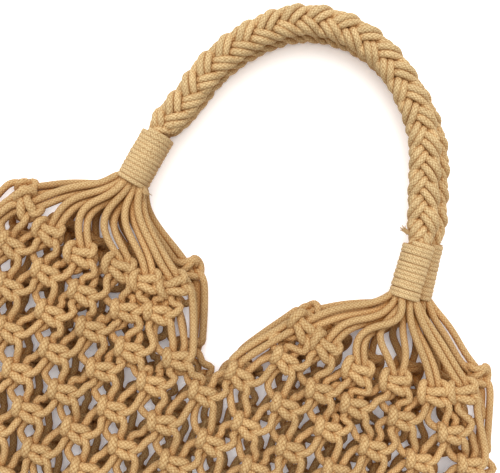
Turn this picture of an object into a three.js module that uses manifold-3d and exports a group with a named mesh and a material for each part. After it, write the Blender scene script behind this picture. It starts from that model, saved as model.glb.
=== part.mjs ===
// A shoulder bag knotted from soft cord, lying flat on its back.
// Lengths are in millimetres, +Z is up, +Y runs from the bag's bottom to its handles.
// The origin ends up under the middle of the whole bag, on the surface it lies on.
import * as THREE from "three";
import { mergeVertices } from "three/addons/utils/BufferGeometryUtils.js";
import Module from "manifold-3d";

const wasm = await Module();
wasm.setup();

// Cord and knots
const cordDiameter = 4.5;
const knotWidth = 19;
const knotHeight = 12;
const netThickness = 12; // front to back of a knot, which is the wall of the net
const touchGap = 0.3; // left between pieces that touch

// The net: rows of knots, counted from 0 at the top, below each pair of wraps
const knotPitch = 30.5; // from knot to knot along a row, where nothing draws the row together
const rowStep = 19.6; // from one row down to the next, which is shifted by half a pitch
const rowCount = 15;
const knotsPerFan = 6; // in the top row, under one wrap
const edgeKnotRow = 2; // its end knots take in the long cords that run beside each fan
const fullestRow = 5; // where the bag is widest and opens most
const straightRow = 8; // the first row that runs straight across
const firstRowDrop = 51; // from the wraps' lower ends to the top row, in the middle of a fan
const edgeRise = 2; // how far the knots one pitch from a fan's middle are drawn up
const bagOpenness = 24; // how far the front stands off the back, in the middle
const mouthLoss = 0.35; // share of that which is gone at the mouth
const cornerRadius = 40;

// Rows drawn together under a wrap: shares of the full pitch, and of the way out to the body's own spacing
const gatheredRows = [
  { pitchShare: 0.68, spreadShare: 0.4 },
  { pitchShare: 0.85, spreadShare: 0 },
  { pitchShare: 0.95, spreadShare: 0.6 },
];
const bodyRow = { pitchShare: 1, spreadShare: 1 };

// Mesh openings cut through the net, two pitches apart
const meshWidth = 36;
const meshHeight = 42;
const meshTipWidth = 6; // across an opening's blunt upper and lower tips
const meshRim = 9; // least net left between an opening and the edge of the net

// Handles, their wraps and where they stand
const wrapSpacing = 180; // between the lower ends of one handle's two wraps
const wrapLength = 36;
const wrapRadius = 9.2;
const wrapTurns = 12;
const wrapGroove = 0.8;
const wrapLean = 6.5; // degrees that each wrap leans towards the other
const neckRadius = 6.2; // the bundle of cords inside a wrap
const backHandleShift = 8; // how far the back handle's right wrap lies to the right of the front one

// Braided part of a handle
const handleHeight = 137; // from the wraps' lower ends to the middle of the braid at its top
const braidWidth = 24;
const braidThickness = 17.6;
const strandRadius = 4.7;
const strandCount = 3;
const braidPeriod = 45; // along the handle, until a strand is back in its place

// Middle line of the braid between its wraps: shares of half the wrap spacing and of the handle's height
const handleRoute = [
  { across: -0.875, up: 0.42 },
  { across: -0.79, up: 0.625 },
  { across: -0.625, up: 0.81 },
  { across: -0.39, up: 0.95 },
  { across: -0.09, up: 1.0 },
  { across: 0.22, up: 0.96 },
  { across: 0.49, up: 0.845 },
  { across: 0.7, up: 0.69 },
  { across: 0.83, up: 0.49 },
];

// How finely round and curved forms are divided
const wrapSides = 12;
const cordSides = 6;
const fanSteps = 6;
const braidSides = 12;
const braidStepsPerPeriod = 8;
const cornerSteps = 4;
const shoulderSteps = 4;

// Worked out from the sizes above
const fanX = wrapSpacing / 2;
const bodyFanX = (knotsPerFan / 2) * knotPitch;
const pitchesPerSide = 2 * knotsPerFan;
const outerPlace = (knotsPerFan - 1) / 2;
const frontBottom = netThickness + touchGap;
const foldRadius = frontBottom / 2;
const flatHalfWidth = (pitchesPerSide * knotPitch - Math.PI * foldRadius) / 2;
const netHalfWidth = flatHalfWidth + foldRadius + netThickness / 2;
const fullestY = -(firstRowDrop + fullestRow * rowStep);
const netBottomY = -(firstRowDrop + (rowCount - 1) * rowStep + knotHeight / 2);
const backHandleZ = wrapRadius;
const frontHandleZ = 3 * wrapRadius + touchGap;

const cordColour = new THREE.MeshStandardMaterial({ color: 0xc9a26b, roughness: 0.9, metalness: 0 });
const wrapColour = new THREE.MeshStandardMaterial({ color: 0xd0aa74, roughness: 0.9, metalness: 0 });

const bag = new THREE.Group();

function addPiece(name, geometry, material) {
  const piece = new THREE.Mesh(geometry, material);
  piece.name = name;
  bag.add(piece);
}

// Centre of a knot: place counts pitches from the middle of its fan, side is -1 for left and 1 for right
function knotCentre(row, place, side) {
  const { pitchShare, spreadShare } = gatheredRows[row] ?? bodyRow;
  const middleX = THREE.MathUtils.lerp(fanX, bodyFanX, spreadShare);
  const rise = edgeRise * Math.max(0, 1 - row / straightRow) * place * place;
  const x = side * (middleX + knotPitch * pitchShare * place);
  return new THREE.Vector2(x, rise - firstRowDrop - row * rowStep);
}

// How far the front net stands off the back one: nothing at the sides and the bottom, most in the middle
function frontLift(x, y) {
  const roundness = 2.5;
  const across = 1 - Math.min(1, Math.abs(x) / netHalfWidth) ** roundness;
  const towardsMouth = Math.min(1, (y - fullestY) / -fullestY);
  const towardsBottom = Math.max(0, (y - netBottomY) / (fullestY - netBottomY));
  const along = y > fullestY ? 1 - mouthLoss * towardsMouth ** 2 : Math.sin((Math.PI / 2) * towardsBottom);
  return bagOpenness * across * along;
}

const backMiddleZ = () => netThickness / 2;
const frontMiddleZ = (x, y) => frontBottom + frontLift(x, y) + netThickness / 2;

// A closed body through rings of points that run the same way round
function loft(rings) {
  const count = rings[0].length;
  const last = (rings.length - 1) * count;
  const faces = [];
  for (let ring = 0; ring + 1 < rings.length; ring++)
    for (let i = 0; i < count; i++) {
      const here = ring * count + i;
      const beside = ring * count + ((i + 1) % count);
      faces.push(here, beside, beside + count, here, beside + count, here + count);
    }
  for (let i = 1; i + 1 < count; i++) faces.push(0, i + 1, i, last, last + i, last + i + 1);
  return new THREE.BufferGeometry().setFromPoints(rings.flat()).setIndex(faces);
}

// A ring of points across a path: reach(angle) is where each stands, seen from the path
function ringAcross(centre, tangent, count, reach) {
  const sideways = new THREE.Vector3(0, 0, 1).cross(tangent).normalize();
  const upwards = tangent.clone().cross(sideways).normalize();
  return Array.from({ length: count }, (_, i) => {
    const offset = reach((2 * Math.PI * i) / count);
    return centre.clone().addScaledVector(sideways, offset.x).addScaledVector(upwards, offset.y);
  });
}

const ellipse = (halfWidth, halfThickness) => (angle) =>
  new THREE.Vector2(halfWidth * Math.cos(angle), halfThickness * Math.sin(angle));

const neckSection = ellipse(neckRadius, neckRadius);

function toSolid(geometry) {
  const bare = geometry.clone();
  bare.deleteAttribute("normal");
  bare.deleteAttribute("uv");
  const merged = mergeVertices(bare, 1e-3);
  return new wasm.Manifold(new wasm.Mesh({
    numProp: 3,
    vertProperties: merged.attributes.position.array,
    triVerts: new Uint32Array(merged.index.array),
  }));
}

function toGeometry(solid) {
  const mesh = solid.getMesh();
  const geometry = new THREE.BufferGeometry();
  geometry.setAttribute("position", new THREE.BufferAttribute(mesh.vertProperties, 3));
  geometry.setIndex(new THREE.BufferAttribute(mesh.triVerts, 1));
  return geometry;
}

// Upper edge of the net under one fan, from its inner end outwards: a tab at each knot, a notch between two
function fanEdge(side) {
  const tabShare = 0.74;
  const halfTab = (side * tabShare * knotPitch * gatheredRows[0].pitchShare) / 2;
  const edge = [];
  for (let place = -outerPlace; place <= outerPlace; place++) {
    const knot = knotCentre(0, place, side);
    const tabStart = new THREE.Vector2(knot.x - halfTab, knot.y + knotHeight / 2);
    const tabEnd = new THREE.Vector2(knot.x + halfTab, knot.y + knotHeight / 2);
    if (edge.length) edge.push(new THREE.Vector2((edge.at(-1).x + tabStart.x) / 2, knot.y - knotHeight / 2));
    edge.push(tabStart, tabEnd);
  }
  return edge;
}

// Side of the bag from a fan's outer edge down to the bottom, rounded at the shoulder and the corner
function sideEdge(side) {
  const shoulder = knotCentre(edgeKnotRow, outerPlace, 1);
  const shoulderX = shoulder.x + knotWidth / 2;
  const cornerY = netBottomY + cornerRadius;
  const edge = [];
  for (let i = 0; i <= shoulderSteps; i++) {
    const share = 1 - i / shoulderSteps;
    const x = netHalfWidth - (netHalfWidth - shoulderX) * share ** 2;
    edge.push(new THREE.Vector2(side * x, fullestY + (shoulder.y - fullestY) * share));
  }
  for (let y = fullestY - 2 * rowStep; y > cornerY + rowStep; y -= 2 * rowStep)
    edge.push(new THREE.Vector2(side * netHalfWidth, y));
  for (let i = 0; i <= cornerSteps; i++) {
    const angle = ((Math.PI / 2) * i) / cornerSteps;
    edge.push(new THREE.Vector2(
      side * (netHalfWidth - cornerRadius * (1 - Math.cos(angle))),
      cornerY - cornerRadius * Math.sin(angle),
    ));
  }
  return edge;
}

// One half of the net's outline, from the valley between the fans to the middle of the bottom
function halfOutline(side) {
  const valley = new THREE.Vector2(0, knotCentre(edgeKnotRow + 1, -knotsPerFan / 2, side).y + knotHeight / 2);
  const innerKnot = knotCentre(edgeKnotRow, -outerPlace, side);
  const outline = [
    valley,
    new THREE.Vector2(innerKnot.x - (side * knotWidth) / 2, innerKnot.y),
    ...fanEdge(side),
    ...sideEdge(side),
  ];
  for (let x = netHalfWidth - cornerRadius - knotPitch; x > knotPitch / 2; x -= knotPitch)
    outline.push(new THREE.Vector2(side * x, netBottomY));
  return outline;
}

// A six-sided mesh opening, taller than wide
function meshOpening(centre) {
  const corners = [
    [meshWidth / 2, 0],
    [meshTipWidth / 2, meshHeight / 2],
    [-meshTipWidth / 2, meshHeight / 2],
    [-meshWidth / 2, 0],
    [-meshTipWidth / 2, -meshHeight / 2],
    [meshTipWidth / 2, -meshHeight / 2],
  ];
  return new THREE.Path(corners.map(([x, y]) => new THREE.Vector2(centre.x + x, centre.y + y)));
}

// Middles of the mesh openings: on every other row, two pitches apart, each such row shifted by one
function openingCentres() {
  const centres = [];
  for (let row = 2; row < rowCount; row += 2) {
    const shift = row % 4 ? knotPitch : 0;
    for (let step = -knotsPerFan; step <= knotsPerFan; step++) {
      const x = 2 * knotPitch * step + shift;
      const place = (Math.abs(x) - bodyFanX) / knotPitch;
      centres.push(new THREE.Vector2(x, knotCentre(row, place, 1).y));
    }
  }
  return centres;
}

// Whether a point lies in the outline and at least this far from it
function clearOf(point, outline, distance) {
  let inside = false;
  let nearest = Infinity;
  outline.forEach((a, i) => {
    const b = outline[(i + 1) % outline.length];
    if (a.y > point.y !== b.y > point.y) {
      const crossing = a.x + ((point.y - a.y) / (b.y - a.y)) * (b.x - a.x);
      if (point.x < crossing) inside = !inside;
    }
    const along = b.clone().sub(a);
    const share = THREE.MathUtils.clamp(point.clone().sub(a).dot(along) / along.lengthSq(), 0, 1);
    nearest = Math.min(nearest, a.clone().addScaledVector(along, share).distanceTo(point));
  });
  return inside && nearest >= distance;
}

// One side of the net: a pierced sheet whose middle lies at middleZ(x, y)
function netSheet(middleZ) {
  const outline = [...halfOutline(1), ...halfOutline(-1).slice(1).reverse()];
  const shape = new THREE.Shape(outline);
  shape.holes = openingCentres()
    .map(meshOpening)
    .filter((hole) => hole.getPoints().every((corner) => clearOf(corner, outline, meshRim)));
  const sheet = new THREE.ExtrudeGeometry(shape, { depth: netThickness, bevelEnabled: false });
  const position = sheet.attributes.position;
  for (let i = 0; i < position.count; i++) {
    const lower = middleZ(position.getX(i), position.getY(i)) - netThickness / 2;
    position.setZ(i, position.getZ(i) + lower);
  }
  return sheet;
}

// The row of knots that closes the bottom: each stands edge on, tied from two cords of the front and two
// of the back
function bottomKnotRow() {
  const halfSpan = netHalfWidth - cornerRadius;
  const knotCount = 2 * pitchesPerSide;
  const step = (2 * halfSpan) / knotCount;
  const top = netBottomY - touchGap;
  const notchY = top - knotHeight / 2;
  const shape = new THREE.Shape([new THREE.Vector2(halfSpan, top), new THREE.Vector2(-halfSpan, top)]);
  for (let i = 0; i < knotCount; i++) {
    const x = i * step - halfSpan;
    shape.lineTo(x, notchY);
    shape.lineTo(x + step / 4, top - knotHeight);
    shape.lineTo(x + (3 * step) / 4, top - knotHeight);
  }
  shape.lineTo(halfSpan, notchY);
  const row = new THREE.ExtrudeGeometry(shape, { depth: knotWidth, bevelEnabled: false });
  return row.translate(0, 0, (netThickness + frontBottom - knotWidth) / 2);
}

// One end of a handle: the middle of its wrap's lower end and the way the wrap points
function wrapPlace(side, shift, z) {
  const lean = THREE.MathUtils.degToRad(wrapLean);
  return {
    foot: new THREE.Vector3(side * fanX + shift, 0, z),
    up: new THREE.Vector3(-side * Math.sin(lean), Math.cos(lean), 0),
  };
}

const alongWrap = (place, distance) => place.foot.clone().addScaledVector(place.up, distance);

// A wrap: cord wound round the bundle, as a sleeve with a ridge for each turn
function wrapSleeve(place) {
  const boreRadius = (neckRadius + touchGap) / Math.cos(Math.PI / wrapSides);
  const turn = wrapLength / wrapTurns;
  const profile = [new THREE.Vector2(boreRadius, 0), new THREE.Vector2(wrapRadius - wrapGroove, 0)];
  for (let i = 0; i < wrapTurns; i++) {
    profile.push(new THREE.Vector2(wrapRadius, (i + 0.5) * turn));
    profile.push(new THREE.Vector2(wrapRadius - wrapGroove, (i + 1) * turn));
  }
  profile.push(new THREE.Vector2(boreRadius, wrapLength));
  profile.push(profile[0].clone());
  const sleeve = new THREE.LatheGeometry(profile, wrapSides);
  const turned = new THREE.Quaternion().setFromUnitVectors(new THREE.Vector3(0, 1, 0), place.up);
  return sleeve.applyQuaternion(turned).translate(place.foot.x, place.foot.y, place.foot.z);
}

// A pair of cords lying side by side, from the wrap to one knot of the top row
function cordPair(place, side, fromMiddle, middleZ) {
  const down = place.up.clone().negate();
  const knot = knotCentre(0, fromMiddle, side);
  const start = alongWrap(place, -cordDiameter / 3);
  start.x += (side * fromMiddle * (neckRadius - cordDiameter / 2)) / (outerPlace + 0.5);
  const endY = knot.y + knotHeight / 2 + touchGap;
  const end = new THREE.Vector3(knot.x, endY, middleZ(knot.x, endY));
  const route = new THREE.CubicBezierCurve3(
    start,
    start.clone().addScaledVector(down, 2 * cordDiameter),
    end.clone().setY(endY + 3 * cordDiameter),
    end,
  );
  const rings = Array.from({ length: fanSteps + 1 }, (_, i) =>
    ringAcross(
      route.getPoint(i / fanSteps),
      route.getTangent(i / fanSteps),
      cordSides,
      ellipse(cordDiameter, cordDiameter / 2),
    ));
  return loft(rings);
}

// A fan: the neck inside the wrap and a pair of cords to each knot of the top row
function cordFan(place, side, middleZ) {
  const down = place.up.clone().negate();
  const neckEnds = [(wrapLength - touchGap) / 2, -cordDiameter];
  const neck = loft(neckEnds.map((distance) =>
    ringAcross(alongWrap(place, distance), down, wrapSides, neckSection)));
  let fan = toSolid(neck);
  for (let fromMiddle = -outerPlace; fromMiddle <= outerPlace; fromMiddle++)
    fan = fan.add(toSolid(cordPair(place, side, fromMiddle, middleZ)));
  return toGeometry(fan);
}

// Outline of the three plaited strands across the handle, at an angle round it and a phase along it
function braidReach(angle, phase) {
  const swing = braidWidth / 2 - strandRadius;
  const rise = braidThickness / 2 - strandRadius;
  const ray = new THREE.Vector2(Math.cos(angle), Math.sin(angle));
  let reach = strandRadius;
  for (let strand = 0; strand < strandCount; strand++) {
    const turn = phase + (2 * Math.PI * strand) / strandCount;
    const middle = new THREE.Vector2(swing * Math.sin(turn), rise * Math.sin(2 * turn));
    const along = middle.dot(ray);
    const room = strandRadius ** 2 - (middle.lengthSq() - along ** 2);
    if (room > 0) reach = Math.max(reach, along + Math.sqrt(room));
  }
  return ray.multiplyScalar(reach);
}

// A handle: the plait between its wraps, with a straight plain end inside each
function braid(leftWrap, rightWrap) {
  const wrapTop = wrapLength + touchGap;
  const tailStart = (wrapLength + touchGap) / 2;
  const shift = rightWrap.foot.x - fanX;
  const line = new THREE.CatmullRomCurve3([
    alongWrap(leftWrap, wrapTop),
    ...handleRoute.map(({ across, up }) =>
      new THREE.Vector3(across * fanX + (shift * (across + 1)) / 2, up * handleHeight, leftWrap.foot.z)),
    alongWrap(rightWrap, wrapTop),
  ]);
  const length = line.getLength();
  const plaited = length - 2 * strandRadius;
  const steps = Math.round((braidStepsPerPeriod * plaited) / braidPeriod);
  const plaitRing = (_, i) => {
    const distance = strandRadius + (plaited * i) / steps;
    const share = distance / length;
    const phase = (2 * Math.PI * distance) / braidPeriod;
    return ringAcross(line.getPointAt(share), line.getTangentAt(share), braidSides,
      (angle) => braidReach(angle, phase));
  };
  const tailRing = (place, distance, direction) =>
    ringAcross(alongWrap(place, distance), place.up.clone().multiplyScalar(direction), braidSides, neckSection);
  return loft([
    tailRing(leftWrap, tailStart, 1),
    tailRing(leftWrap, wrapTop, 1),
    ...Array.from({ length: steps + 1 }, plaitRing),
    tailRing(rightWrap, wrapTop, -1),
    tailRing(rightWrap, tailStart, -1),
  ]);
}

addPiece("back_net", netSheet(backMiddleZ), cordColour);
addPiece("front_net", netSheet(frontMiddleZ), cordColour);
addPiece("bottom_knot_row", bottomKnotRow(), cordColour);

const handles = [
  { name: "back", z: backHandleZ, rightShift: backHandleShift, middleZ: backMiddleZ },
  { name: "front", z: frontHandleZ, rightShift: 0, middleZ: frontMiddleZ },
];
for (const { name, z, rightShift, middleZ } of handles) {
  const left = wrapPlace(-1, 0, z);
  const right = wrapPlace(1, rightShift, z);
  addPiece(name + "_left_fan", cordFan(left, -1, middleZ), cordColour);
  addPiece(name + "_right_fan", cordFan(right, 1, middleZ), cordColour);
  addPiece(name + "_left_wrap", wrapSleeve(left), wrapColour);
  addPiece(name + "_right_wrap", wrapSleeve(right), wrapColour);
  addPiece(name + "_handle_braid", braid(left, right), cordColour);
}

// Stand the bag on the origin by the middle of its outer box
const box = new THREE.Box3().setFromObject(bag, true);
const middle = box.getCenter(new THREE.Vector3());
bag.position.set(-middle.x, -middle.y, -box.min.z);

export default bag;
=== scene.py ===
"""A shoulder bag knotted from soft cotton cord, lying flat on a pale floor.

Lengths inside the script are in millimetres in the bag's own frame: +X to the right, +Y towards the
handles, +Z up, and Y is nought at the lower ends of the wraps. Meshes are written in metres.
"""

import functools
import math

import bpy
import numpy as np
from bpy.props import FloatProperty, FloatVectorProperty, IntProperty, PointerProperty
from bpy.types import Operator, Panel, PropertyGroup
from mathutils import Matrix, Vector


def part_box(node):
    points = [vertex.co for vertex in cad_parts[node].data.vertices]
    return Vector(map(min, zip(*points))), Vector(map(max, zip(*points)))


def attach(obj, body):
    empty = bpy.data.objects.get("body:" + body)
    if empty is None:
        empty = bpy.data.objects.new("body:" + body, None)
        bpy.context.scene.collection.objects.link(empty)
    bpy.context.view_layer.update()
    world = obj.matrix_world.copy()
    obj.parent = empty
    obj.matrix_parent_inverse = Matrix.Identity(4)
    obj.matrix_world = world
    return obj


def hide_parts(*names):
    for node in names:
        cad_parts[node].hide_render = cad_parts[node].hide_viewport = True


bl_info = {
    "name": "Knotted cord bag",
    "version": (1, 0, 0),
    "blender": (4, 5, 0),
    "location": "3D View > Sidebar > Bag",
    "description": "Builds a knotted cotton cord shoulder bag, cord by cord",
    "category": "Add Mesh",
}

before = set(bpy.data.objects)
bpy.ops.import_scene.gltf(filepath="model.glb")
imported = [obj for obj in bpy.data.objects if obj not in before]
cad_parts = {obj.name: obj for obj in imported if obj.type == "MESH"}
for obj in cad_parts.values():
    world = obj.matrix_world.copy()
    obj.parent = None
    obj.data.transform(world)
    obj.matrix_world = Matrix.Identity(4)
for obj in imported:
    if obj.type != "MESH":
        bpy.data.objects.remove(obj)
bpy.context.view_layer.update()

MM = 0.001
UP = np.array([0.0, 0.0, 1.0])
# A direction that no cord sets out along
SKEWED = np.array([0.31, 0.17, 1.0])
NEARLY_NOUGHT = 1e-9

# The net, as on the solids that it stands for
KNOT_PITCH = 30.5
ROW_STEP = 19.6
ROW_COUNT = 15
KNOTS_PER_FAN = 6
CORDS_PER_FAN = 4 * KNOTS_PER_FAN
CORD_COUNT = 4 * CORDS_PER_FAN
SIDE_TURN = 2 * KNOTS_PER_FAN
FIRST_ROW_DROP = 51.0
EDGE_RISE = 2.0
STRAIGHT_ROW = 8
GATHERED_ROWS = [(0.68, 0.4), (0.85, 0.0), (0.95, 0.6)]
BODY_ROW = (1.0, 1.0)
BODY_FAN_X = 91.5
FULLEST_Y = -149.0
NET_BOTTOM_Y = -331.4
NET_HALF_WIDTH = 185.49
SHOULDER = (172.8, -80.8)
CORNER_RADIUS = 40.0
BAG_OPENNESS = 24.0
MOUTH_LOSS = 0.35
ROUNDNESS = 2.5
FOLD_MIDDLE_Z = 12.15
SIDE_INSET = 6.0
BACK_Z = 8.0
FRONT_EDGE_Z = 21.3
FRONT_LIFT_SHARE = 0.88
SHIFT_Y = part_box("back_net")[0].y / MM - NET_BOTTOM_Y

# How knots differ from their plain places: as a share of a row's slope, in place, in tilt and in size
KNOT_TURN_SHARE = 0.85
KNOT_SCATTER = 0.45
BACK_SCATTER_SHARE = 0.3
KNOT_TILT = math.radians(4.5)
KNOT_SIZE_SPREAD = 0.025
TOP_KNOT_SCALE = 1.03
# How far to each side of a knot the slope of the front is measured
SLOPE_REACH = 8.0
# Knots of the bottom row, which are smaller and hang this far below the net
CLOSING_KNOT_SCALE = 0.82
CLOSING_KNOT_DROP = 6.3

# Wraps
WRAP_SPACING = 180.0
FAN_X = WRAP_SPACING / 2
WRAP_LENGTH = 36.0
WRAP_TURNS = 12
WRAP_PITCH = WRAP_LENGTH / WRAP_TURNS
WRAP_EXTRA_TURN = 0.35
WRAP_TURN_POINTS = 30
WRAP_START_HEIGHT = 1.5
WRAP_SLANT = 0.4
WRAP_LEAN = math.radians(6.5)
BACK_RIGHT_WRAP_LEAN = math.radians(10.5)
WRAP_HALF_WIDTH = 8.2
WRAP_HALF_DEPTH = 7.7
WRAP_CORD_HALF_WIDTH = 0.52 * WRAP_PITCH
WRAP_CORD_HALF_THICKNESS = 1.4
WRAP_CORD_ROUNDNESS = 0.72
WRAP_SECTION_SIDES = 12
# Slow changes along the winding: how many there are and their size, in its reach, its height and its width
WRAP_REACH_CHANGE = (34, 0.16)
WRAP_HEIGHT_CHANGE = (26, 0.14)
WRAP_WIDTH_CHANGE = (30, 0.035)

# Handles, and how far the right end of the back one stands from that of the front one: across and up
BACK_HANDLE_SHIFT = (10.0, 3.0)
BACK_HANDLE_Z = 9.2
FRONT_HANDLE_Z = 27.9
HANDLE_HEIGHT = 137.0
HANDLE_ROUTE = [
    (-0.875, 0.42),
    (-0.79, 0.625),
    (-0.625, 0.81),
    (-0.39, 0.95),
    (-0.09, 1.0),
    (0.22, 0.96),
    (0.49, 0.845),
    (0.7, 0.69),
    (0.83, 0.49),
]
# A handle's line starts this high in one wrap, comes out at its upper end, and ends the same way
HANDLE_START = 20.0
HANDLE_LEAVES_WRAP = WRAP_LENGTH + 0.3
HANDLE_STEP = 1.9
FINE_STEP = 1.0

# The plait: it starts this far along the handle's line and reaches its full width over the next stretch
STRAND_COUNT = 3
PLAIT_START = 11.0
PLAIT_EASE = 15.0
PLAIT_TURN_LENGTH = 45.0
PLAIT_OFFSET = 20.0
STRAND_SWING = 5.7
STRAND_RISE = 4.3
# How far a strand stands from the line inside the wrap, and how near its cords then come to each other
GATHERED_RADIUS = 2.6
GATHERED_SHARE = 0.6
CORD_DRIFT = 0.35
CORD_DRIFT_LENGTH = 19.0
# Where a strand's cords stand in it, across and out, seen where the strand lies on top
STRAND_PLACES = [(-3.75, -0.3), (0.0, 1.3), (3.75, -0.3), (0.0, -2.6)]

# The front's first rows of knots, from its left side to its right: across and up. None marks the valley,
# where the second row has no knot.
TOP_ROWS = [
    [(-141.1, -37.5), (-121.9, -47.3), (-99.1, -51.6), (-74.6, -50.2), (-55.7, -50.2), (-39.4, -46.2),
     (40, -39.6), (57, -45.8), (80.3, -51.2), (104.5, -47.6), (127.8, -46.3), (145.7, -38.6)],
    [(-140.5, -62.2), (-114.6, -69.2), (-87.9, -70.9), (-61.5, -71.7), (-42.6, -64.6), None,
     (37.1, -61.9), (62.3, -70.5), (85.6, -70.5), (115.2, -65.9), (147.2, -63.7)],
    [(-163, -77), (-131.1, -86.2), (-102.3, -90.5), (-76.6, -89.6), (-50, -91.2), (-21.7, -84.8),
     (15.8, -80.3), (47.7, -86.5), (76.4, -88.9), (106.2, -89.9), (135.5, -86.1), (165.5, -76.7)],
]
FIRST_TURNS = [0.5, 1, 0.5]
# Knots of the back's first row that show past the front, by their number from the left
BACK_END_KNOTS = {0: (-148.3, -32.1), 5: (-39.0, -36.2), 11: (153.3, -27.8)}
BACK_SPREAD = 1.03
BACK_SHIFT = (4.0, 6.0)

# A square knot, seen from its front: across, up and out of the net, for each of its four cords.
# A fourth number says how much fuller than usual the soft cord is there.
KNOT_LEFT = [
    (-14.6, 6.8, -1.4), (-10.6, 3.0, -1.2), (-6.2, 1.9, 1.2), (-3.2, 1.6, 3.2, 1.1), (1.6, 2.6, 3.9, 1.24),
    (5.4, 3.4, 2.8, 1.14), (7.4, 2.2, 0.6), (7.8, -0.7, -0.9), (7, -3.1, 0.8), (5.2, -4.1, 2.7, 1.14),
    (1.4, -3.1, 3.8, 1.24), (-3, -1.9, 3.1, 1.1), (-6, -2.4, 0.8), (-8.3, -4.6, -1.6), (-10.6, -8.6, -2.2),
]
KNOT_FIRST_FILLER = [(-3.6, 8, 0.2), (-3.2, 4.2, -0.6), (-2.4, 0, -0.8), (-2.6, -4.6, 0.4), (-3.2, -8.6, 1.3)]
KNOT_SECOND_FILLER = [(3.3, 8.6, -1), (2.8, 4.6, -0.8), (2.4, 0, -0.8), (1.8, -4.4, -1.3), (0.3, -8.2, -2)]
KNOT_RIGHT = [
    (12.3, 7.6, 1.5), (10.6, 3.4, 2.7), (7.6, 1, 3.5), (5, 0.2, 2.2), (3.6, 0.4, -1.6), (0.5, 1.6, -4.2),
    (-4.4, 3.2, -2.8), (-6.6, 4.0, 0.8, 1.15), (-6.2, 2.7, 4.0, 1.28), (-5.7, 0.1, 5.2, 1.38),
    (-5.4, -2.5, 4.2, 1.28), (-5.1, -4.0, 0.9, 1.15),
    (-3.6, -3.2, -2.8), (0.6, -1.8, -4.2), (3.8, -1, -1.4), (5.2, -1.2, 1.6), (7.3, -2, 3.2, 1.06),
    (9.4, -4, 2.6), (10.7, -7.4, 1.6),
]
BODY_KNOT = [KNOT_LEFT, KNOT_FIRST_FILLER, KNOT_SECOND_FILLER, KNOT_RIGHT]
# A working cord that misses the second row runs straight down: how it leaves the first row
LAST_LEFT_POINTS = [(-7.4, -4.6, -1.2), (-7.6, -9.0, -1.8)]
LAST_RIGHT_POINTS = [(8.6, -3.8, 2.2), (8.8, -8.6, 1.0)]
# and how it enters the third
NEXT_LEFT_POINTS = [(-8.6, 8.2, -1.2), (-8.4, 3.6, -1.0)]
NEXT_RIGHT_POINTS = [(8.8, 8.4, 1.5), (8.8, 3.8, 2.7)]

# The top row's knots hold a doubled cord, whose middle lies behind the two that come down from the wrap
TOP_KNOT_LEFT = [(0, 5.5, -4.2), (-4.6, 5.4, -2.6), (-7, 3.8, -0.4), (-6, 2.4, 1.4)] + KNOT_LEFT[3:]
TOP_KNOT_RIGHT = [
    (3.4, 7.6, -1.5), (5.6, 7.2, 1.2), (6.6, 4.6, 3.4), (5.2, 1.6, 2.6), (3.6, 0.4, -1.6), (0.5, 1.6, -4.2),
    (-4.2, 4, -3), (-6.8, 6.0, 0.2), (-8.2, 4.2, 3.0, 1.12), (-8.4, 0.4, 4.4, 1.2), (-7.2, -3.2, 3.2, 1.12),
    (-5.4, -4.9, 0.6), (-3.6, -4, -2.8), (0.6, -1.8, -4.2), (3.8, -1, -1.4), (5.2, -1.2, 1.6),
    (7.3, -2, 3.2), (9.4, -4, 2.6), (10.7, -7.4, 1.6),
]
TOP_KNOT_FIRST_FILLER = [(-1.6, 4.6, -0.6), (-2.2, 0, -0.8)] + KNOT_FIRST_FILLER[3:]
TOP_KNOT = [TOP_KNOT_LEFT, TOP_KNOT_FIRST_FILLER, KNOT_SECOND_FILLER[1:], TOP_KNOT_RIGHT]

# The two cords that run down to each knot of the front's first row, left one first: across and up
LEFT_FAN = [
    [[(-99.7, -5.4), (-113.3, -11.1), (-123.4, -17.9), (-130.6, -24.5), (-135.6, -31.6)],
     [(-101.3, -8.6), (-111.8, -14.5), (-120.2, -20.6), (-128.5, -27.1), (-132.6, -33.9)]],
    [[(-95.8, -5.2), (-108.1, -13.9), (-117.2, -20.8), (-122.3, -27.5), (-123.2, -34.9), (-121.6, -42.2)],
     [(-95, -6.5), (-104, -14.2), (-114, -23.5), (-117.6, -31.5), (-118.1, -38.7)]],
    [[(-93.4, -6.2), (-102.6, -15.1), (-108.8, -21.7), (-111.3, -28.8), (-108.4, -35.6), (-101.6, -45.7)],
     [(-91.5, -7), (-97.6, -15), (-104.3, -22.8), (-106.4, -29.7), (-102.7, -37.2), (-98.2, -44.2)]],
    [[(-90.9, -7.2), (-95.2, -16), (-97, -24.7), (-93.8, -32.3), (-84.3, -39.3), (-76, -44.8)],
     [(-88.2, -6), (-88.4, -13.1), (-92.3, -22.7), (-89.8, -28.7), (-83.9, -33.2), (-75.6, -38.6),
      (-71.8, -44)]],
    [[(-88.5, -7.1), (-87.3, -14.6), (-84.5, -22.4), (-76.3, -29.9), (-64.8, -37), (-58.2, -43.7)],
     [(-86, -7), (-83.2, -14.8), (-77.8, -21.6), (-68.8, -28.7), (-60.1, -36.1)]],
    [[(-84.1, -4.3), (-76.7, -17.1), (-64.2, -27.8), (-51.7, -38.4), (-45.7, -42.9)],
     [(-80.2, -6.6), (-69.9, -19.2), (-56.1, -30.3), (-44.7, -38.5)]],
]
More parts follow.
